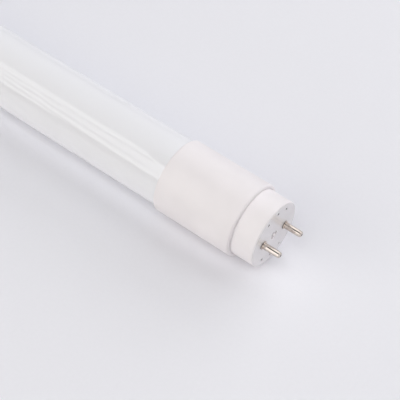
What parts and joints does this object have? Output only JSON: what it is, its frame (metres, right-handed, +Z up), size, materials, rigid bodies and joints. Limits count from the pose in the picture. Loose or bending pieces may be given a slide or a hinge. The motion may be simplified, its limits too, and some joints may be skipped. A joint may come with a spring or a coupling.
{
  "type": "led tube lamp",
  "caption": "Straight milky glass LED tube lamp with white end sleeves, narrower end caps and contact pins, lying on its side.",
  "frame": {"origin": "under the middle of the lamp, on the surface that its two sleeves lie on", "axes": "+X along the lamp towards the driver's end, +Z up from the surface"},
  "size_m": [0.604, 0.028, 0.028],
  "materials": {
    "milky_glass": "gloss",
    "warm_white_plastic": "satin",
    "white_plastic": "gloss",
    "nickel_plated_brass": "polished",
    "clear_glue": "satin",
    "white_adhesive": "satin",
    "white_masked_aluminium": "satin",
    "led_body": "matte",
    "phosphor": "satin",
    "board_green": "gloss",
    "resistor_green": "satin",
    "varistor_blue": "gloss",
    "film_yellow": "gloss",
    "ferrite": "matte",
    "copper_wire": "gloss",
    "can_aluminium": "satin",
    "chip_black": "matte",
    "tinned_wire": "satin",
    "red_wire": "gloss",
    "black_wire": "gloss"
  },
  "bodies": {
    "root": {"glass_tube": "milky_glass", "front_sleeve": "warm_white_plastic", "rear_sleeve": "warm_white_plastic", "front_sleeve_glue": "clear_glue", "rear_sleeve_glue": "clear_glue", "front_cap": "white_plastic", "rear_cap": "white_plastic", "front_pin_left": "nickel_plated_brass", "front_pin_right": "nickel_plated_brass", "rear_pin_left": "nickel_plated_brass", "rear_pin_right": "nickel_plated_brass", "pin_wire_left": "tinned_wire", "pin_wire_right": "tinned_wire", "rear_pin_link": "tinned_wire", "led_board": "white_masked_aluminium", "led_adhesive": "white_adhesive", "led_packages": "led_body", "led_phosphors": "phosphor", "led_wire_positive": "red_wire", "led_wire_negative": "black_wire", "driver_board": "board_green", "fuse_resistor": "resistor_green", "varistor": "varistor_blue", "film_capacitor": "film_yellow", "choke_core": "ferrite", "choke_winding": "copper_wire", "bulk_capacitor": "can_aluminium", "output_capacitor": "can_aluminium", "bridge_rectifier": "chip_black", "driver_chip": "chip_black", "freewheel_diode": "chip_black", "sense_resistors": "chip_black"}
  },
  "joints": []
}
